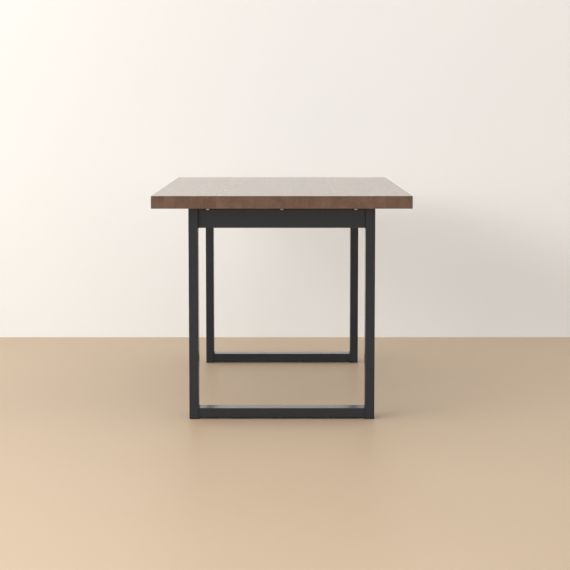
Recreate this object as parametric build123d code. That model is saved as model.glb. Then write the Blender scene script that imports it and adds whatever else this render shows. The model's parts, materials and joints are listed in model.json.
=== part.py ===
from build123d import *
import os

# Butcher block table: an edge-glued walnut top on two welded loop frames of rectangular steel
# tube, with a levelling foot in the end of each leg. Millimetres, +Z up. The origin is on the floor,
# under the middle of the top. X runs across the table and Y along it.

# Tabletop
TOP_LENGTH = 1400.0
TOP_WIDTH = 800.0
TOP_THICKNESS = 39.0
TOTAL_HEIGHT = 704.0
STAVE_COUNT = 20
TOP_ARRIS_RADIUS = 1.5
TOP_CORNER_RADIUS = 2.5
STAVE_CUT_OVERLAP = 2.0

# Loop frames, of rectangular tube
FRAME_WIDTH = 580.0
FRAME_END_INSET = 75.0
TUBE_WIDE = 60.0
TUBE_NARROW = 30.0
TUBE_WALL = 1.6
TUBE_CORNER_RADIUS = 2.5
LEG_FLOOR_GAP = 1.0
FOOT_RAIL_FLOOR_GAP = 5.0
PLATE_THICKNESS = 5.0
PLATE_EDGE_CHAMFER = 0.6
END_PLATE_THICKNESS = 3.0
END_PLATE_RECESS = 4.0
END_PLATE_CLEARANCE = 0.1

# Frame screws: M6 button heads with washers, in threaded inserts
SCREW_X = (-230.0, 0.0, 230.0)
SCREW_RADIUS = 3.0
SCREW_LENGTH = 25.0
SCREW_TIP_CHAMFER = 0.8
HEAD_RADIUS = 5.25
HEAD_HEIGHT = 3.3
HEAD_RIM_HEIGHT = 0.6
HEAD_FLAT_RADIUS = 2.9
HEX_KEY_FLATS = 4.0
HEX_KEY_DEPTH = 2.0
WASHER_RADIUS = 5.75
WASHER_BORE_RADIUS = 3.25
WASHER_THICKNESS = 0.8
HOLE_RADIUS = 3.5
SLOT_LENGTH = 15.0
INSERT_RADIUS = 5.0
INSERT_LENGTH = 15.0
INSERT_RIB_RADIUS = 5.6
INSERT_RIB_PITCH = 2.5
INSERT_RIB_HEIGHT = INSERT_RIB_PITCH / 3
INSERT_BORE_CLEARANCE = 0.05
INSERT_HOLE_CLEARANCE = 0.05
PILOT_RADIUS = 3.5
PILOT_DEPTH = 21.0

# Levelling feet, sunk in the ends of the legs: an M8 screw with a knurled flange, and a nylon
# slip pad clipped under it
LEVELLER_THREAD_RADIUS = 4.0
LEVELLER_CLEARANCE = 0.05
LEVELLER_TOP_Z = 31.0
LEVELLER_TIP_CHAMFER = 1.0
FLANGE_RADIUS = 12.5
FLANGE_TOP_GAP = 0.5
FLANGE_THICKNESS = 2.2
KNURL_COUNT = 36
KNURL_RADIUS = 0.55
PAD_RADIUS = 11.0
PAD_THICKNESS = 2.0
PAD_EDGE_CHAMFER = 0.5
PAD_STEM_RADIUS = 3.0
PAD_STEM_HEIGHT = 1.5
PAD_STEM_END_GAP = 0.3
WELD_NUT_FLATS = 13.0
WELD_NUT_HEIGHT = 6.5
WELD_NUT_CHAMFER = 0.8
END_PLATE_HOLE_RADIUS = 4.5

# How far from a given height an edge may lie and still count as being at it
EDGE_TOLERANCE = 0.01

# Worked out from the dimensions above
TOP_UNDERSIDE_Z = TOTAL_HEIGHT - TOP_THICKNESS
PLATE_UNDERSIDE_Z = TOP_UNDERSIDE_Z - PLATE_THICKNESS
STAVE_WIDTH = TOP_WIDTH / STAVE_COUNT
FRAME_Y = TOP_LENGTH / 2 - FRAME_END_INSET - TUBE_WIDE / 2
LEG_X = FRAME_WIDTH / 2 - TUBE_NARROW / 2
RAIL_LENGTH = FRAME_WIDTH - 2 * TUBE_NARROW
SCREW_ROW_OFFSET = (TUBE_WIDE + TUBE_NARROW) / 4
INSERT_HOLE_RADIUS = INSERT_RIB_RADIUS + INSERT_HOLE_CLEARANCE
HEAD_TOP_Z = PLATE_UNDERSIDE_Z - WASHER_THICKNESS
END_PLATE_UNDERSIDE_Z = LEG_FLOOR_GAP + END_PLATE_RECESS
FLANGE_TOP_Z = END_PLATE_UNDERSIDE_Z - FLANGE_TOP_GAP
FLANGE_BOTTOM_Z = FLANGE_TOP_Z - FLANGE_THICKNESS
ENDS = (("front", -FRAME_Y), ("rear", FRAME_Y))
SIDES = (("left", -LEG_X), ("right", LEG_X))


def save(shape, node):
    export_step(shape, f"parts/{node}.step")


def cylinder(radius, low_z, high_z, x=0.0, y=0.0):
    return Pos(x, y, low_z) * Cylinder(
        radius, high_z - low_z, align=(Align.CENTER, Align.CENTER, Align.MIN)
    )


def hexagon(flats, low_z, high_z):
    outline = RegularPolygon(flats / 2, 6, major_radius=False)
    return Pos(0, 0, low_z) * extrude(outline, high_z - low_z)


def edges_at(shape, axis, value):
    return shape.edges().filter_by_position(axis, value - EDGE_TOLERANCE, value + EDGE_TOLERANCE)


# Tabletop

def screw_places(frame_y):
    return [(x, frame_y + row) for x in SCREW_X for row in (-SCREW_ROW_OFFSET, SCREW_ROW_OFFSET)]


def tabletop_slab():
    middle_z = TOP_UNDERSIDE_Z + TOP_THICKNESS / 2
    slab = Pos(0, 0, middle_z) * Box(TOP_WIDTH, TOP_LENGTH, TOP_THICKNESS)
    slab = fillet(slab.edges().filter_by(Axis.Z), TOP_CORNER_RADIUS)
    slab = fillet(edges_at(slab, Axis.Z, TOTAL_HEIGHT), TOP_ARRIS_RADIUS)
    slab = fillet(edges_at(slab, Axis.Z, TOP_UNDERSIDE_Z), TOP_ARRIS_RADIUS)
    for _, frame_y in ENDS:
        for x, y in screw_places(frame_y):
            slab -= cylinder(INSERT_HOLE_RADIUS, TOP_UNDERSIDE_Z, TOP_UNDERSIDE_Z + INSERT_LENGTH, x, y)
            slab -= cylinder(PILOT_RADIUS, TOP_UNDERSIDE_Z, TOP_UNDERSIDE_Z + PILOT_DEPTH, x, y)
    return slab


def stave(slab, index):
    middle_x = -TOP_WIDTH / 2 + (index + 0.5) * STAVE_WIDTH
    middle_z = TOP_UNDERSIDE_Z + TOP_THICKNESS / 2
    strip_length = TOP_LENGTH + STAVE_CUT_OVERLAP
    strip_height = TOP_THICKNESS + STAVE_CUT_OVERLAP
    strip = Pos(middle_x, 0, middle_z) * Box(STAVE_WIDTH, strip_length, strip_height)
    return slab & strip


# Loop frames

def tube(size_x, size_y, length):
    outer = RectangleRounded(size_x, size_y, TUBE_CORNER_RADIUS)
    inner = RectangleRounded(
        size_x - 2 * TUBE_WALL, size_y - 2 * TUBE_WALL, TUBE_CORNER_RADIUS - TUBE_WALL
    )
    return extrude(outer - inner, length)


def leg(x, frame_y):
    height = PLATE_UNDERSIDE_Z - LEG_FLOOR_GAP
    return Pos(x, frame_y, LEG_FLOOR_GAP) * tube(TUBE_NARROW, TUBE_WIDE, height)


def rail(frame_y, middle_z, height, depth):
    start = Location((-RAIL_LENGTH / 2, frame_y, middle_z), (0, 90, 0))
    return start * tube(height, depth, RAIL_LENGTH)


def mounting_plate(frame_y):
    outline = RectangleRounded(FRAME_WIDTH, TUBE_WIDE, TUBE_CORNER_RADIUS)
    plate = Pos(0, frame_y, PLATE_UNDERSIDE_Z) * extrude(outline, PLATE_THICKNESS)
    plate = chamfer(edges_at(plate, Axis.Z, PLATE_UNDERSIDE_Z), PLATE_EDGE_CHAMFER)
    for x, y in screw_places(frame_y):
        if x == 0:
            plate -= cylinder(HOLE_RADIUS, PLATE_UNDERSIDE_Z, TOP_UNDERSIDE_Z, x, y)
        else:
            slot = SlotOverall(SLOT_LENGTH, 2 * HOLE_RADIUS)
            plate -= Pos(x, y, PLATE_UNDERSIDE_Z) * extrude(slot, PLATE_THICKNESS)
    return plate


def end_plate(x, frame_y):
    inset = 2 * (TUBE_WALL + END_PLATE_CLEARANCE)
    outline = Rectangle(TUBE_NARROW - inset, TUBE_WIDE - inset)
    outline = fillet(outline.vertices(), TUBE_CORNER_RADIUS - TUBE_WALL)
    outline -= Circle(END_PLATE_HOLE_RADIUS)
    return Pos(x, frame_y, END_PLATE_UNDERSIDE_Z) * extrude(outline, END_PLATE_THICKNESS)


def weld_nut(x, frame_y):
    low_z = END_PLATE_UNDERSIDE_Z + END_PLATE_THICKNESS
    high_z = low_z + WELD_NUT_HEIGHT
    nut = hexagon(WELD_NUT_FLATS, low_z, high_z)
    nut = chamfer(edges_at(nut, Axis.Z, high_z), WELD_NUT_CHAMFER)
    nut -= cylinder(LEVELLER_THREAD_RADIUS + LEVELLER_CLEARANCE, low_z, high_z)
    return Pos(x, frame_y, 0) * nut


# Frame screws, washers and inserts

def frame_screw(x, y):
    head_bottom_z = HEAD_TOP_Z - HEAD_HEIGHT
    rim_z = HEAD_TOP_Z - HEAD_RIM_HEIGHT
    profile = Polyline(
        (HEAD_FLAT_RADIUS, head_bottom_z), (0, head_bottom_z), (0, HEAD_TOP_Z),
        (HEAD_RADIUS, HEAD_TOP_Z), (HEAD_RADIUS, rim_z),
    )
    dome_end = (HEAD_FLAT_RADIUS, head_bottom_z)
    dome = TangentArc((HEAD_RADIUS, rim_z), dome_end, tangent=(0, -1))
    section = Plane.XZ * make_face([*profile.edges(), dome])
    head = revolve(section, Axis.Z)
    head -= hexagon(HEX_KEY_FLATS, head_bottom_z, head_bottom_z + HEX_KEY_DEPTH)
    shank = cylinder(SCREW_RADIUS, HEAD_TOP_Z, HEAD_TOP_Z + SCREW_LENGTH)
    shank = chamfer(edges_at(shank, Axis.Z, HEAD_TOP_Z + SCREW_LENGTH), SCREW_TIP_CHAMFER)
    return Pos(x, y, 0) * (head + shank)


def washer(x, y):
    ring = cylinder(WASHER_RADIUS, HEAD_TOP_Z, PLATE_UNDERSIDE_Z)
    ring -= cylinder(WASHER_BORE_RADIUS, HEAD_TOP_Z, PLATE_UNDERSIDE_Z)
    return Pos(x, y, 0) * ring


def threaded_insert(x, y):
    high_z = TOP_UNDERSIDE_Z + INSERT_LENGTH
    body = cylinder(INSERT_RADIUS, TOP_UNDERSIDE_Z, high_z)
    rib_z = TOP_UNDERSIDE_Z + INSERT_RIB_PITCH / 2
    while rib_z < high_z:
        body += Pos(0, 0, rib_z) * Cylinder(INSERT_RIB_RADIUS, INSERT_RIB_HEIGHT)
        rib_z += INSERT_RIB_PITCH
    body -= cylinder(SCREW_RADIUS + INSERT_BORE_CLEARANCE, TOP_UNDERSIDE_Z, high_z)
    return Pos(x, y, 0) * body


# Levelling feet

def levelling_screw(x, y):
    flange = cylinder(FLANGE_RADIUS, FLANGE_BOTTOM_Z, FLANGE_TOP_Z)
    groove = cylinder(KNURL_RADIUS, FLANGE_BOTTOM_Z, FLANGE_TOP_Z)
    flange -= PolarLocations(FLANGE_RADIUS, KNURL_COUNT) * groove
    stud = cylinder(LEVELLER_THREAD_RADIUS, FLANGE_TOP_Z, LEVELLER_TOP_Z)
    stud = chamfer(edges_at(stud, Axis.Z, LEVELLER_TOP_Z), LEVELLER_TIP_CHAMFER)
    socket_top_z = PAD_THICKNESS + PAD_STEM_HEIGHT + PAD_STEM_END_GAP
    screw = flange + stud
    screw -= cylinder(PAD_STEM_RADIUS + LEVELLER_CLEARANCE, FLANGE_BOTTOM_Z, socket_top_z)
    return Pos(x, y, 0) * screw


def slip_pad(x, y):
    disc = cylinder(PAD_RADIUS, 0, PAD_THICKNESS)
    disc = chamfer(disc.edges().filter_by(GeomType.CIRCLE), PAD_EDGE_CHAMFER)
    stem = cylinder(PAD_STEM_RADIUS, PAD_THICKNESS, PAD_THICKNESS + PAD_STEM_HEIGHT)
    return Pos(x, y, 0) * (disc + stem)


def main():
    os.makedirs("parts", exist_ok=True)
    slab = tabletop_slab()
    for index in range(STAVE_COUNT):
        save(stave(slab, index), f"top_stave_{index + 1:02d}")
    for end, frame_y in ENDS:
        foot_rail_z = FOOT_RAIL_FLOOR_GAP + TUBE_NARROW / 2
        top_rail_z = PLATE_UNDERSIDE_Z - TUBE_WIDE / 2
        save(rail(frame_y, foot_rail_z, TUBE_NARROW, TUBE_WIDE), f"{end}_foot_rail")
        save(rail(frame_y, top_rail_z, TUBE_WIDE, TUBE_NARROW), f"{end}_top_rail")
        save(mounting_plate(frame_y), f"{end}_mounting_plate")
        places = screw_places(frame_y)
        save(Compound([frame_screw(x, y) for x, y in places]), f"{end}_frame_screws")
        save(Compound([washer(x, y) for x, y in places]), f"{end}_screw_washers")
        save(Compound([threaded_insert(x, y) for x, y in places]), f"{end}_threaded_inserts")
        save(Compound([weld_nut(x, frame_y) for _, x in SIDES]), f"{end}_weld_nuts")
        for side, x in SIDES:
            save(leg(x, frame_y), f"{end}_{side}_leg")
            save(end_plate(x, frame_y), f"{end}_{side}_end_plate")
            save(levelling_screw(x, frame_y), f"{end}_{side}_levelling_screw")
            save(slip_pad(x, frame_y), f"{end}_{side}_slip_pad")


main()
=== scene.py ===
import json
import math
import random

import bmesh
import bpy
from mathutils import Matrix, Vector


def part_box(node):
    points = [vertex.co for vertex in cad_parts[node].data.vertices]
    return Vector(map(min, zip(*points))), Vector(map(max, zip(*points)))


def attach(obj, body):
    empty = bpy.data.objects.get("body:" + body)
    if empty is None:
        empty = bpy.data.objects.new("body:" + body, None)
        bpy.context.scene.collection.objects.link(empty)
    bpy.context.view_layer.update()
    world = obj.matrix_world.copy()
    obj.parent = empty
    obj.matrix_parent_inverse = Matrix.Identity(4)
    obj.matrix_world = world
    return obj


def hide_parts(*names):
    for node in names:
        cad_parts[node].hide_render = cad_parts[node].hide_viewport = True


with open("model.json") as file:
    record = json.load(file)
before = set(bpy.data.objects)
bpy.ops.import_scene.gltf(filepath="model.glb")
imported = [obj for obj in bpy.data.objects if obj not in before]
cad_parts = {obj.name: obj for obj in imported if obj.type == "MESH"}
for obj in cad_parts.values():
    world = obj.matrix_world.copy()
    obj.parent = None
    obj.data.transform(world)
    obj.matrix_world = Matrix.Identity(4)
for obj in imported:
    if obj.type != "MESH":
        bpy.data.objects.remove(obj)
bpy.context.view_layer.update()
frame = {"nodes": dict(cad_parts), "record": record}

# Metres, in the frame's axes: X across the table, Y along it, Z up.
ENDS = ("front", "rear")
SIDES = ("left", "right")
STAVES = sorted(name for name in frame["nodes"] if name.startswith("top_stave_"))

# Where a noise field's values mostly lie, and how far each stave's own noise may be shifted
NOISE_LOW = 0.3
NOISE_HIGH = 0.7
NOISE_SHIFT = 20.0

# Walnut, as linear colours
WOOD_DARK = (0.050, 0.024, 0.0135)
WOOD_MIDDLE = (0.146, 0.077, 0.043)
WOOD_LIGHT = (0.262, 0.150, 0.086)
GLUE_LINE_COLOUR = (0.030, 0.016, 0.011)
END_GRAIN_SHADE = (0.83, 0.87, 0.99)
STAVE_TONE = 0.10
STAVE_REDNESS = 0.03
END_TONE_SHARE = 0.15
WOOD_SEED = 11

# The share of flat-sawn staves, and how each stave's pith lies, leans and wanders: aside is across
# the table, and off is above or below the stave's middle
FLAT_SAWN_SHARE = 0.45
FLAT_SAWN_PITH_ASIDE = 0.016
FLAT_SAWN_PITH_OFF = (0.050, 0.100)
STRAIGHT_PITH_ASIDE = (0.060, 0.150)
STRAIGHT_PITH_OFF = (0.020, 0.090)
PITH_LEAN_ASIDE = 0.016
PITH_LEAN_OFF = (0.012, 0.040)
PITH_WANDER = 0.022
PITH_WANDER_OFF_SCALE = 1.37

# Growth rings: their spacing in metres, and how years differ
RING_SPACING = (0.0028, 0.0050)
RING_RIPPLE = 0.0018
YEAR_BREATHING = 0.9
YEAR_BREATHING_PACE = 0.45
YEAR_VIGOUR_PACE = 0.38
YEAR_VIGOUR = (0.35, 1.15)
LATE_WOOD_POWER = 2.4
EARLY_EDGE_WIDTH = 0.14
EARLY_EDGE_STRENGTH = 0.9
RING_CONTRAST = 0.32
END_RING_CONTRAST = 0.22

# Noise in the wood, in cycles per metre across, along and through the stave
WANDER_ASIDE_GRAIN = (3.0, 1.6, 3.0)
WANDER_OFF_GRAIN = (2.6, 1.3, 2.6)
RIPPLE_GRAIN = (40.0, 4.5, 40.0)
MOTTLE_GRAIN = (22.0, 2.2, 22.0)
STREAK_GRAIN = (240.0, 2.6, 240.0)
FIBRE_GRAIN = (1500.0, 26.0, 1500.0)
PORE_GRAIN = (2600.0, 110.0, 2600.0)

# How much each of them lightens or darkens the wood, and where a face counts as end grain
MOTTLE_VALUE = (0.46, 0.74)
STREAK_VALUE = 0.09
FIBRE_VALUE = 0.06
PORE_FIELD = (0.62, 0.70)
PORE_DARKNESS = 0.65
END_FACE_SLOPE = (0.6, 0.9)

# Glue lines, the wood's roughness and relief, and the lacquer over it
GLUE_LINE_HALF_WIDTH = 0.00018
GLUE_LINE_FADE = 2.5
GLUE_LINE_STRENGTH = 0.7
END_GLUE_STRENGTH = 0.25
WOOD_ROUGHNESS = (0.27, 0.36)
PORE_ROUGHNESS = 0.25
END_ROUGHNESS = 0.10
WOOD_SPECULAR = 0.05
LACQUER_WEIGHT = 0.85
LACQUER_ROUGHNESS = 0.15
FIBRE_HEIGHT = 0.35
RING_HEIGHT = 0.25
WOOD_BUMP_DEPTH = 0.00006
LACQUER_BUMP_DEPTH = 0.00003
WOOD_BUMP_STRENGTH = 0.6

# Satin black powder coat
COAT_COLOUR = (0.0105, 0.0143, 0.0215)
COAT_SCUFFED = (0.050, 0.051, 0.052)
COAT_CLOUD_SCALE = 9.0
COAT_TINT = (0.92, 1.08)
COAT_ROUGHNESS = 0.40
COAT_ROUGHNESS_SPREAD = 0.03
COAT_SPECULAR = 0.1
COAT_SKIN_WEIGHT = 0.95
COAT_SKIN_ROUGHNESS = 0.20
COAT_PEEL_SCALE = 520.0
COAT_GRAIN_SCALE = 2400.0
COAT_GRAIN_SHARE = 0.2
COAT_PEEL_DEPTH = 0.00004

# Scuffs on the faces that look up, fading out between these heights
SCUFF_STRETCH = (60.0, 240.0, 240.0)
SCUFF_FIELD = (0.60, 0.72)
SCUFF_NONE_Z = 0.045
SCUFF_FULL_Z = 0.02
SCUFF_FACE_SLOPE = (0.5, 0.9)
SCUFF_STRENGTH = 0.45
SCUFF_ROUGHNESS = 0.12

# Zinc and nylon
ZINC_COLOUR = (0.66, 0.64, 0.60)
ZINC_WARM_COLOUR = (0.70, 0.66, 0.56)
ZINC_CLOUD_SCALE = 260.0
ZINC_WARM_FIELD = (0.35, 0.65)
ZINC_ROUGHNESS = (0.22, 0.38)
ZINC_SCRATCH_STRETCH = (4000.0, 4000.0, 900.0)
ZINC_SCRATCH_DEPTH = 0.00001
ZINC_SCRATCH_STRENGTH = 0.4
NYLON_COLOUR = (0.016, 0.016, 0.017)
NYLON_CLOUD_SCALE = 120.0
NYLON_TINT = (0.85, 1.2)
NYLON_ROUGHNESS = (0.48, 0.60)
NYLON_GRAIN_SCALE = 3200.0
NYLON_GRAIN_DEPTH = 0.00003
NYLON_GRAIN_STRENGTH = 0.5

# Weld beads
BEAD_LEG = 0.0030
BEAD_INSET = 0.004
BEAD_RIPPLE_PITCH = 0.0020
BEAD_RIPPLE_DEPTH = 0.00022
BEAD_UNEVENNESS = 0.00003
BEAD_RINGS_PER_RIPPLE = 5
BEAD_FEWEST_RINGS = 12
BEAD_ARC_POINTS = 7
BEAD_END_LEG = 0.15
BEAD_FLATTEST = 0.72
STITCH_LENGTH = 0.035
STITCH_PLACES = (-0.17, -0.06, 0.06, 0.17)

# Levelling feet: the thread, the knurled flange and the socket under it
STUD_RADIUS = 0.004
STUD_CHAMFER = 0.001
STUD_CHAMFER_DEPTH = 0.0006
THREAD_PITCH = 0.00125
THREAD_DEPTH = 0.00077
THREAD_FLANK = 2.2
THREAD_RINGS_PER_PITCH = 10
FLANGE_TOP_Z = 0.0045
FLANGE_EDGE = 0.0003
FLANGE_BEVEL = 2.5 * FLANGE_EDGE
KNURLS = 36
KNURL_DEPTH = 0.0007
SOCKET_RADIUS = 0.00305
SOCKET_TOP_Z = 0.0038
SOCKET_ROOF_RADIUS = 0.0004
FOOT_SEGMENTS = 72

# Stage
FLOOR_COLOUR = (0.560, 0.425, 0.290)
FLOOR_ROUGHNESS = 0.46
WALL_COLOUR = (0.895, 0.905, 0.905)
WALL_ROUGHNESS = 0.9
WALL_Y = 1.30
STAGE_REACH = 14.0
STAGE_CLOUD_SCALE = 0.8
STAGE_TINT = (0.985, 1.015)

# Light: a pale dome, and two soft lights that aim at the table
DOME_COLOUR = (1.0, 0.995, 0.985)
DOME_AT_HORIZON = 0.86
DOME_OVERHEAD = 0.94
LIGHT_COLOUR = (1.0, 0.98, 0.96)
WINDOW_PLACE = (-4.8, -2.0, 2.4)
WINDOW_AIM = (0.0, -0.2, 0.4)
WINDOW_SIZE = (5.4, 3.4)
WINDOW_WATTS = 120.0
KEY_PLACE = (-2.3, -3.9, 1.8)
KEY_AIM = (0.0, -0.6, 0.45)
KEY_SIZE = (2.4, 0.9)
KEY_WATTS = 58.0

# Camera: about a metre up and six metres from the table's middle, looking slightly down
CAMERA_PLACE = (0.003, -5.923, 0.974)
CAMERA_PITCH_DEG = 5.935
CAMERA_YAW_DEG = 0.074
CAMERA_LENS_MM = 108.13
CAMERA_FAR_CLIP = 60.0
SENSOR_MM = 36.0

# The colour sockets of a mix node, which has others of the same names for its other data types
MIX_COLOUR_A = 6
MIX_COLOUR_B = 7
MIX_COLOUR_RESULT = 2


class Graph:
    """A material's node tree, with short calls for the nodes that it uses."""

    def __init__(self, name):
        self.material = bpy.data.materials.new(name)
        self.material.use_nodes = True
        self.tree = self.material.node_tree
        self.tree.nodes.clear()
        self.shader = self.tree.nodes.new("ShaderNodeBsdfPrincipled")
        output = self.tree.nodes.new("ShaderNodeOutputMaterial")
        self.tree.links.new(self.shader.outputs[0], output.inputs["Surface"])

    def feed(self, socket, value):
        if isinstance(value, bpy.types.NodeSocket):
            self.tree.links.new(value, socket)
        elif isinstance(value, (tuple, list)) and len(socket.default_value) == 4:
            socket.default_value = (*value, 1.0)[:4]
        else:
            socket.default_value = value

    def set(self, name, value):
        self.feed(self.shader.inputs[name], value)

    def place(self):
        return self.tree.nodes.new("ShaderNodeTexCoord").outputs["Object"]

    def normal(self):
        return self.tree.nodes.new("ShaderNodeNewGeometry").outputs["Normal"]

    def math(self, operation, a, b=0.0, clamp=False):
        node = self.tree.nodes.new("ShaderNodeMath")
        node.operation = operation
        node.use_clamp = clamp
        self.feed(node.inputs[0], a)
        self.feed(node.inputs[1], b)
        return node.outputs[0]

    def vector(self, operation, a, b=(0.0, 0.0, 0.0)):
        node = self.tree.nodes.new("ShaderNodeVectorMath")
        node.operation = operation
        self.feed(node.inputs[0], a)
        self.feed(node.inputs[1], b)
        return node.outputs["Value"] if operation in ("LENGTH", "DOT_PRODUCT") else node.outputs[0]

    def split(self, vector):
        node = self.tree.nodes.new("ShaderNodeSeparateXYZ")
        self.feed(node.inputs[0], vector)
        return node.outputs

    def join(self, x, y, z):
        node = self.tree.nodes.new("ShaderNodeCombineXYZ")
        for socket, value in zip(node.inputs, (x, y, z)):
            self.feed(socket, value)
        return node.outputs[0]

    def noise(self, vector, scale, detail=2.0, roughness=0.5):
        node = self.tree.nodes.new("ShaderNodeTexNoise")
        self.feed(node.inputs["Vector"], vector)
        node.inputs["Scale"].default_value = scale
        node.inputs["Detail"].default_value = detail
        node.inputs["Roughness"].default_value = roughness
        return node.outputs[0]

    def remap(self, value, low, high, new_low=0.0, new_high=1.0, smooth=False):
        node = self.tree.nodes.new("ShaderNodeMapRange")
        node.interpolation_type = "SMOOTHSTEP" if smooth else "LINEAR"
        for socket, number in zip(node.inputs, (value, low, high, new_low, new_high)):
            self.feed(socket, number)
        return node.outputs[0]

    def spread(self, noise, low, high):
        """A noise field, from where it mostly lies to low and high."""
        return self.remap(noise, NOISE_LOW, NOISE_HIGH, low, high)

    def grey(self, value):
        return self.join(value, value, value)

    def grain(self, vector, stretch, detail=2.0, roughness=0.5, scale=1.0):
        """Noise that is stretched along the axes where stretch is small."""
        return self.noise(self.vector("MULTIPLY", vector, stretch), scale, detail, roughness)

    def ramp(self, value, stops):
        node = self.tree.nodes.new("ShaderNodeValToRGB")
        elements = node.color_ramp.elements
        while len(elements) < len(stops):
            elements.new(0.5)
        for element, (position, colour) in zip(elements, stops):
            element.position = position
            element.color = (*colour, 1.0)
        self.feed(node.inputs[0], value)
        return node.outputs[0]

    def mix(self, factor, a, b, blend="MIX"):
        node = self.tree.nodes.new("ShaderNodeMix")
        node.data_type = "RGBA"
        node.blend_type = blend
        self.feed(node.inputs[0], factor)
        self.feed(node.inputs[MIX_COLOUR_A], a)
        self.feed(node.inputs[MIX_COLOUR_B], b)
        return node.outputs[MIX_COLOUR_RESULT]

    def multiply(self, a, b):
        """One colour times another."""
        return self.mix(1.0, a, b, "MULTIPLY")

    def bump(self, height, distance, strength=1.0):
        node = self.tree.nodes.new("ShaderNodeBump")
        node.inputs["Strength"].default_value = strength
        node.inputs["Distance"].default_value = distance
        self.feed(node.inputs["Height"], height)
        return node.outputs[0]


# Materials

def walnut(name, low, high, rng):
    """One stave, from its box: growth rings round its own pith, seen as figure on its faces and as
    arcs on its ends."""
    g = Graph(name)
    place = g.place()
    x, y, z = g.split(place)
    own = g.vector("ADD", place, [rng.uniform(-NOISE_SHIFT, NOISE_SHIFT) for _ in range(3)])

    # A pith below or above the stave gives flat-sawn arches, and one beside it gives straight grain
    middle_x = (low.x + high.x) / 2
    middle_z = (low.z + high.z) / 2
    above = rng.choice((-1, 1))
    if rng.random() < FLAT_SAWN_SHARE:
        pith_x = middle_x + rng.uniform(-FLAT_SAWN_PITH_ASIDE, FLAT_SAWN_PITH_ASIDE)
        pith_z = middle_z + above * rng.uniform(*FLAT_SAWN_PITH_OFF)
    else:
        pith_x = middle_x + rng.choice((-1, 1)) * rng.uniform(*STRAIGHT_PITH_ASIDE)
        pith_z = middle_z + above * rng.uniform(*STRAIGHT_PITH_OFF)
    lean_x = rng.uniform(-PITH_LEAN_ASIDE, PITH_LEAN_ASIDE)
    lean_z = rng.choice((-1, 1)) * rng.uniform(*PITH_LEAN_OFF)
    spacing = rng.uniform(*RING_SPACING)

    # Distance from that pith, which leans and wanders along the stave
    wander_x = g.grain(own, WANDER_ASIDE_GRAIN, detail=1.0)
    wander_z = g.grain(own, WANDER_OFF_GRAIN, detail=1.0, scale=PITH_WANDER_OFF_SCALE)
    ripple = g.grain(own, RIPPLE_GRAIN)
    across = g.math("SUBTRACT", g.math("SUBTRACT", x, pith_x), g.math("MULTIPLY", y, lean_x))
    across = g.math("ADD", across, g.remap(wander_x, 0, 1, -PITH_WANDER, PITH_WANDER))
    depth = g.math("SUBTRACT", g.math("SUBTRACT", z, pith_z), g.math("MULTIPLY", y, lean_z))
    depth = g.math("ADD", depth, g.remap(wander_z, 0, 1, -PITH_WANDER, PITH_WANDER))
    radius = g.vector("LENGTH", g.join(across, depth, 0.0))
    radius = g.math("ADD", radius, g.remap(ripple, 0, 1, -RING_RIPPLE, RING_RIPPLE))

    # Years differ: the spacing breathes, and some rings are darker than others
    year = g.math("DIVIDE", radius, spacing)
    paced = g.math("MULTIPLY", year, YEAR_BREATHING_PACE)
    breathing = g.noise(g.join(paced, rng.uniform(-NOISE_SHIFT, NOISE_SHIFT), 0.0), 1.0, detail=1.0)
    year = g.math("ADD", year, g.remap(breathing, 0, 1, -YEAR_BREATHING, YEAR_BREATHING))
    paced = g.math("MULTIPLY", year, YEAR_VIGOUR_PACE)
    vigour = g.noise(g.join(paced, rng.uniform(-NOISE_SHIFT, NOISE_SHIFT), 0.0), 1.0, detail=1.0)
    turn = g.math("FRACT", year)
    late_wood = g.math("POWER", turn, LATE_WOOD_POWER)
    early_edge = g.remap(turn, 0.0, EARLY_EDGE_WIDTH, 1.0, 0.0, smooth=True)
    ring = g.math("MAXIMUM", late_wood, g.math("MULTIPLY", early_edge, EARLY_EDGE_STRENGTH))
    ring = g.math("MULTIPLY", ring, g.spread(vigour, *YEAR_VIGOUR))

    # Mottling, streaks along the grain, and pores. End grain is more even than the faces.
    end_face = g.remap(g.math("ABSOLUTE", g.split(g.normal())[1]), *END_FACE_SLOPE)
    mottle = g.grain(own, MOTTLE_GRAIN, detail=3.0, roughness=0.55)
    streak = g.grain(own, STREAK_GRAIN, detail=3.0, roughness=0.6)
    fibre = g.grain(own, FIBRE_GRAIN, roughness=0.6)
    pore = g.remap(g.grain(own, PORE_GRAIN, detail=1.0), *PORE_FIELD, smooth=True)
    value = g.math("MULTIPLY", ring, g.remap(end_face, 0, 1, -RING_CONTRAST, -END_RING_CONTRAST))
    value = g.math("ADD", value, g.spread(mottle, *MOTTLE_VALUE))
    value = g.math("ADD", value, g.spread(streak, -STREAK_VALUE, STREAK_VALUE))
    value = g.math("ADD", value, g.spread(fibre, -FIBRE_VALUE, FIBRE_VALUE))
    tone = rng.uniform(-STAVE_TONE, STAVE_TONE)
    value = g.math("ADD", value, g.remap(end_face, 0, 1, tone, END_TONE_SHARE * tone), clamp=True)
    colour = g.ramp(value, ((0.0, WOOD_DARK), (0.5, WOOD_MIDDLE), (1.0, WOOD_LIGHT)))
    red = rng.uniform(-STAVE_REDNESS, STAVE_REDNESS)
    colour = g.multiply(colour, (1.0 + red, 1.0, 1.0 - red))
    colour = g.mix(g.math("MULTIPLY", pore, PORE_DARKNESS), colour, WOOD_DARK)

    # End grain drinks more finish and is darker
    colour = g.mix(end_face, colour, g.multiply(colour, END_GRAIN_SHADE))

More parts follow.
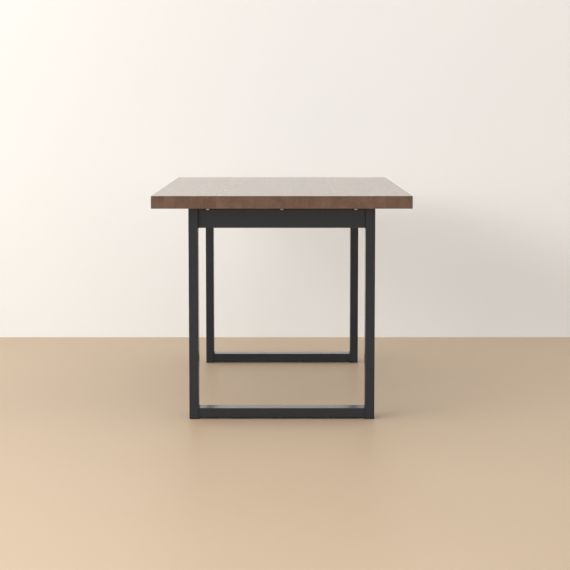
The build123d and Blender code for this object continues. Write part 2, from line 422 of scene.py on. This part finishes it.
    # Glue lines at both long edges
    from_edge = g.math("MINIMUM", g.math("SUBTRACT", x, low.x), g.math("SUBTRACT", high.x, x))
    faded = GLUE_LINE_FADE * GLUE_LINE_HALF_WIDTH
    glue = g.remap(from_edge, GLUE_LINE_HALF_WIDTH, faded, 1.0, 0.0, smooth=True)
    glue = g.math("MULTIPLY", glue, g.remap(end_face, 0, 1, GLUE_LINE_STRENGTH, END_GLUE_STRENGTH))
    g.set("Base Color", g.mix(glue, colour, GLUE_LINE_COLOUR))

    rough = g.spread(fibre, *WOOD_ROUGHNESS)
    rough = g.math("ADD", rough, g.math("MULTIPLY", pore, PORE_ROUGHNESS))
    rough = g.math("ADD", rough, g.math("MULTIPLY", end_face, END_ROUGHNESS), clamp=True)
    g.set("Roughness", rough)
    g.set("Specular IOR Level", WOOD_SPECULAR)
    g.set("Coat Weight", LACQUER_WEIGHT)
    g.set("Coat Roughness", LACQUER_ROUGHNESS)
    height = g.math("SUBTRACT", g.math("MULTIPLY", fibre, FIBRE_HEIGHT), pore)
    height = g.math("SUBTRACT", height, g.math("MULTIPLY", ring, RING_HEIGHT))
    g.set("Normal", g.bump(height, WOOD_BUMP_DEPTH, WOOD_BUMP_STRENGTH))
    g.set("Coat Normal", g.bump(height, LACQUER_BUMP_DEPTH, WOOD_BUMP_STRENGTH))
    return g.material


def powder_coat(name):
    """Satin black with a fine orange peel, and scuffs where shoes meet the foot rails."""
    g = Graph(name)
    place = g.place()
    z = g.split(place)[2]
    cloud = g.noise(place, COAT_CLOUD_SCALE, detail=3.0, roughness=0.55)
    scuff_field = g.grain(place, SCUFF_STRETCH, detail=3.0, roughness=0.65)
    scuff = g.remap(scuff_field, *SCUFF_FIELD, smooth=True)
    low_down = g.remap(z, SCUFF_NONE_Z, SCUFF_FULL_Z, smooth=True)
    facing_up = g.remap(g.split(g.normal())[2], *SCUFF_FACE_SLOPE)
    worn = g.math("MULTIPLY", scuff, g.math("MULTIPLY", facing_up, low_down))
    colour = g.mix(g.math("MULTIPLY", worn, SCUFF_STRENGTH), COAT_COLOUR, COAT_SCUFFED)
    g.set("Base Color", g.multiply(colour, g.grey(g.spread(cloud, *COAT_TINT))))
    smoothest = COAT_ROUGHNESS - COAT_ROUGHNESS_SPREAD
    roughest = COAT_ROUGHNESS + COAT_ROUGHNESS_SPREAD
    rough = g.spread(cloud, smoothest, roughest)
    g.set("Roughness", g.math("ADD", rough, g.math("MULTIPLY", worn, SCUFF_ROUGHNESS)))
    g.set("Specular IOR Level", COAT_SPECULAR)
    g.set("Coat Weight", COAT_SKIN_WEIGHT)
    g.set("Coat Roughness", COAT_SKIN_ROUGHNESS)
    peel = g.noise(place, COAT_PEEL_SCALE, detail=1.0, roughness=0.4)
    grain = g.noise(place, COAT_GRAIN_SCALE, detail=1.0)
    skin = g.bump(g.math("ADD", peel, g.math("MULTIPLY", grain, COAT_GRAIN_SHARE)), COAT_PEEL_DEPTH)
    g.set("Normal", skin)
    g.set("Coat Normal", skin)
    return g.material


def zinc_plate(name):
    """Bright zinc, a little uneven, with the fine haze of plated steel."""
    g = Graph(name)
    place = g.place()
    cloud = g.noise(place, ZINC_CLOUD_SCALE, detail=3.0, roughness=0.6)
    g.set("Base Color", g.mix(g.remap(cloud, *ZINC_WARM_FIELD), ZINC_COLOUR, ZINC_WARM_COLOUR))
    g.set("Metallic", 1.0)
    g.set("Roughness", g.spread(cloud, *ZINC_ROUGHNESS))
    scratch = g.grain(place, ZINC_SCRATCH_STRETCH, roughness=0.6)
    g.set("Normal", g.bump(scratch, ZINC_SCRATCH_DEPTH, ZINC_SCRATCH_STRENGTH))
    return g.material


def nylon(name):
    """Moulded black nylon with a fine spark-eroded texture."""
    g = Graph(name)
    place = g.place()
    cloud = g.noise(place, NYLON_CLOUD_SCALE)
    g.set("Base Color", g.multiply(NYLON_COLOUR, g.grey(g.spread(cloud, *NYLON_TINT))))
    g.set("Roughness", g.spread(cloud, *NYLON_ROUGHNESS))
    grain = g.noise(place, NYLON_GRAIN_SCALE)
    g.set("Normal", g.bump(grain, NYLON_GRAIN_DEPTH, NYLON_GRAIN_STRENGTH))
    return g.material


def wear(node_object, material):
    """Puts a material in every slot of a CAD node."""
    slots = node_object.data.materials
    if not slots:
        slots.append(material)
    for index in range(len(slots)):
        slots[index] = material


def dress_cad():
    rng = random.Random(WOOD_SEED)
    for name in STAVES:
        low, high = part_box(name)
        wear(frame["nodes"][name], walnut(f"walnut_{name[-2:]}", low, high, rng))
    finishes = {"powder_coat": COAT, "zinc_plate": ZINC, "nylon": NYLON}
    for row in frame["record"]["subparts"]:
        material = finishes.get(row["material_slot"])
        if material:
            wear(frame["nodes"][row["node"]], material)


# Pieces added to the steelwork

def piece(name, bm, material, body):
    """A finished mesh that rides on a CAD body."""
    bmesh.ops.recalc_face_normals(bm, faces=bm.faces)
    mesh = bpy.data.meshes.new(name)
    bm.to_mesh(mesh)
    bm.free()
    mesh.materials.append(material)
    mesh.shade_smooth()
    made = bpy.data.objects.new(name, mesh)
    bpy.context.scene.collection.objects.link(made)
    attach(made, body)
    return made


def join_rings(bm, rings):
    """Faces between each ring of vertices and the next one. The two end rings stay open."""
    count = len(rings[0])
    for a, b in zip(rings, rings[1:]):
        for k in range(count):
            n = (k + 1) % count
            bm.faces.new((a[k], a[n], b[n], b[k]))


def add_bead(bm, start, end, wall_a, wall_b, rng):
    """A fillet weld in the corner between two walls, from start to end, with a rippled face.
    wall_a and wall_b point from the corner along each wall."""
    start, end = Vector(start), Vector(end)
    wall_a, wall_b = Vector(wall_a), Vector(wall_b)
    length = (end - start).length
    along = (end - start) / length
    steps = max(BEAD_FEWEST_RINGS, round(length / BEAD_RIPPLE_PITCH * BEAD_RINGS_PER_RIPPLE))
    rings = []
    for i in range(steps + 1):
        at = i / steps * length
        taper = min(1.0, min(at, length - at) / BEAD_LEG + BEAD_END_LEG)
        phase = at / BEAD_RIPPLE_PITCH
        ripple = BEAD_RIPPLE_DEPTH * math.cos(math.pi * phase) ** 2 + rng.uniform(0, BEAD_UNEVENNESS)
        leg = (BEAD_LEG - ripple) * math.sqrt(taper)
        centre = start + along * at
        ring = [bm.verts.new(centre)]
        for k in range(BEAD_ARC_POINTS):
            angle = k / (BEAD_ARC_POINTS - 1) * math.pi / 2
            bulge = BEAD_FLATTEST + (1 - BEAD_FLATTEST) * abs(math.cos(2 * angle))
            offset = wall_a * math.cos(angle) + wall_b * math.sin(angle)
            ring.append(bm.verts.new(centre + offset * leg * bulge))
        rings.append(ring)
    join_rings(bm, rings)
    bm.faces.new(rings[0])
    bm.faces.new(reversed(rings[-1]))


def weld_beads(end):
    """The fillet welds of one loop frame: rails to legs, and top rail to the mounting plate."""
    bm = bmesh.new()
    rng = random.Random(len(end))
    foot_low, foot_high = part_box(f"{end}_foot_rail")
    top_low, top_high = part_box(f"{end}_top_rail")
    plate_z = top_high.z
    for x, inward in ((foot_low.x, 1), (foot_high.x, -1)):
        along_x = (inward, 0, 0)
        corner_start = (x, foot_low.y + BEAD_INSET, foot_high.z)
        corner_end = (x, foot_high.y - BEAD_INSET, foot_high.z)
        add_bead(bm, corner_start, corner_end, (0, 0, 1), along_x, rng)
        for y, outward in ((top_low.y, -1), (top_high.y, 1)):
            low = (x, y, top_low.z + BEAD_INSET)
            high = (x, y, plate_z - BEAD_INSET)
            add_bead(bm, low, high, along_x, (0, outward, 0), rng)
        low = (x, top_low.y + BEAD_INSET, top_low.z)
        high = (x, top_high.y - BEAD_INSET, top_low.z)
        add_bead(bm, low, high, along_x, (0, 0, -1), rng)
    for x in STITCH_PLACES:
        for y, outward in ((top_low.y, -1), (top_high.y, 1)):
            low = (x - STITCH_LENGTH / 2, y, plate_z)
            high = (x + STITCH_LENGTH / 2, y, plate_z)
            add_bead(bm, low, high, (0, outward, 0), (0, 0, -1), rng)
    piece(f"{end}_weld_beads", bm, COAT, "table")


def threaded_foot(end, side):
    """The levelling screw with a real helical thread and a knurled flange, in place of the plain one."""
    node = f"{end}_{side}_levelling_screw"
    low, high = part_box(node)
    centre = Vector(((low.x + high.x) / 2, (low.y + high.y) / 2, 0.0))
    flange_radius = (high.x - low.x) / 2
    bm = bmesh.new()

    def ring(z, radius_at):
        verts = []
        for k in range(FOOT_SEGMENTS):
            angle = 2 * math.pi * k / FOOT_SEGMENTS
            radius = radius_at(angle)
            x = centre.x + radius * math.cos(angle)
            y = centre.y + radius * math.sin(angle)
            verts.append(bm.verts.new((x, y, z)))
        return verts

    def circle(z, radius):
        return ring(z, lambda angle: radius)

    def knurl(angle):
        return flange_radius - KNURL_DEPTH * (1 + math.cos(KNURLS * angle)) / 2

    def thread(z):
        def radius_at(angle):
            phase = (z / THREAD_PITCH - angle / (2 * math.pi)) % 1.0
            groove = min(1.0, THREAD_FLANK * min(phase, 1 - phase))
            full = min(1.0, max(0.0, (high.z - z) / STUD_CHAMFER))
            return STUD_RADIUS - THREAD_DEPTH * groove - (1 - full) * STUD_CHAMFER_DEPTH
        return radius_at

    rings = [
        circle(SOCKET_TOP_Z, SOCKET_ROOF_RADIUS),
        circle(SOCKET_TOP_Z, SOCKET_RADIUS),
        circle(low.z, SOCKET_RADIUS),
        circle(low.z, flange_radius - FLANGE_BEVEL),
        ring(low.z + FLANGE_EDGE, knurl),
        ring(FLANGE_TOP_Z - FLANGE_EDGE, knurl),
        circle(FLANGE_TOP_Z, flange_radius - FLANGE_BEVEL),
        circle(FLANGE_TOP_Z, STUD_RADIUS),
    ]
    stud_height = high.z - FLANGE_TOP_Z
    steps = round(stud_height / THREAD_PITCH * THREAD_RINGS_PER_PITCH)
    for i in range(1, steps + 1):
        z = FLANGE_TOP_Z + stud_height * i / steps
        rings.append(ring(z, thread(z)))
    join_rings(bm, rings)
    bm.faces.new(rings[0])
    bm.faces.new(rings[-1])
    made = piece(f"{end}_{side}_threaded_foot", bm, ZINC, f"{end}_{side}_foot_screw")
    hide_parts(node)


# Stage, light and camera

def plain_surface(name, colour, roughness):
    """A stage colour with a faint unevenness. It is seen from its front only, so that it hides
    nothing in a view from behind or below."""
    g = Graph(name)
    cloud = g.noise(g.place(), STAGE_CLOUD_SCALE)
    g.set("Base Color", g.multiply(colour, g.grey(g.spread(cloud, *STAGE_TINT))))
    g.set("Roughness", roughness)
    clear = g.tree.nodes.new("ShaderNodeBsdfTransparent")
    front_only = g.tree.nodes.new("ShaderNodeMixShader")
    behind = g.tree.nodes.new("ShaderNodeNewGeometry").outputs["Backfacing"]
    output = next(n for n in g.tree.nodes if n.type == "OUTPUT_MATERIAL")
    g.tree.links.new(behind, front_only.inputs[0])
    g.tree.links.new(g.shader.outputs[0], front_only.inputs[1])
    g.tree.links.new(clear.outputs[0], front_only.inputs[2])
    g.tree.links.new(front_only.outputs[0], output.inputs["Surface"])
    return g.material


def stage_plane(name, corners, material):
    mesh = bpy.data.meshes.new(name)
    mesh.from_pydata(corners, [], [(0, 1, 2, 3)])
    mesh.materials.append(material)
    made = bpy.data.objects.new(name, mesh)
    bpy.context.scene.collection.objects.link(made)


def build_stage():
    r = STAGE_REACH
    floor = [(-r, -r, 0), (r, -r, 0), (r, r, 0), (-r, r, 0)]
    wall = [(-r, WALL_Y, 0), (r, WALL_Y, 0), (r, WALL_Y, r), (-r, WALL_Y, r)]
    stage_plane("floor", floor, plain_surface("floor_finish", FLOOR_COLOUR, FLOOR_ROUGHNESS))
    stage_plane("backdrop", wall, plain_surface("backdrop_finish", WALL_COLOUR, WALL_ROUGHNESS))


def area_light(name, place, aim, size, watts):
    """A rectangle of light that isn't seen itself, or mirrored as a burnt-out patch in a glossy face."""
    light = bpy.data.lights.new(name, "AREA")
    light.shape = "RECTANGLE"
    light.size, light.size_y = size
    light.energy = watts
    light.color = LIGHT_COLOUR
    made = bpy.data.objects.new(name, light)
    bpy.context.scene.collection.objects.link(made)
    made.visible_camera = False
    made.visible_glossy = False
    made.location = place
    made.rotation_euler = (Vector(aim) - Vector(place)).to_track_quat("-Z", "Y").to_euler()


def light_scene():
    """A pale dome, a little brighter overhead, a large soft light on the left and a key light in front."""
    world = bpy.data.worlds.new("studio")
    world.use_nodes = True
    tree = world.node_tree
    sky = tree.nodes["Background"]
    sky.inputs["Color"].default_value = (*DOME_COLOUR, 1.0)
    direction = tree.nodes.new("ShaderNodeTexCoord").outputs["Generated"]
    split = tree.nodes.new("ShaderNodeSeparateXYZ")
    tree.links.new(direction, split.inputs[0])
    rise = tree.nodes.new("ShaderNodeMapRange")
    tree.links.new(split.outputs[2], rise.inputs["Value"])
    rise.inputs["To Min"].default_value = DOME_AT_HORIZON
    rise.inputs["To Max"].default_value = DOME_OVERHEAD
    tree.links.new(rise.outputs[0], sky.inputs["Strength"])
    bpy.context.scene.world = world
    area_light("window", WINDOW_PLACE, WINDOW_AIM, WINDOW_SIZE, WINDOW_WATTS)
    area_light("key", KEY_PLACE, KEY_AIM, KEY_SIZE, KEY_WATTS)


def make_camera():
    data = bpy.data.cameras.new("camera")
    data.sensor_width = SENSOR_MM
    data.lens = CAMERA_LENS_MM
    data.clip_end = CAMERA_FAR_CLIP
    camera = bpy.data.objects.new("camera", data)
    bpy.context.scene.collection.objects.link(camera)
    camera.location = CAMERA_PLACE
    tilt = math.radians(90 - CAMERA_PITCH_DEG)
    camera.rotation_euler = (tilt, 0.0, -math.radians(CAMERA_YAW_DEG))
    bpy.context.scene.camera = camera


COAT = powder_coat("satin_black_coat")
ZINC = zinc_plate("bright_zinc")
NYLON = nylon("black_nylon")

make_camera()
build_stage()
light_scene()
dress_cad()
for end in ENDS:
    weld_beads(end)
    for side in SIDES:
        threaded_foot(end, side)
bpy.context.scene.view_settings.view_transform = "Standard"
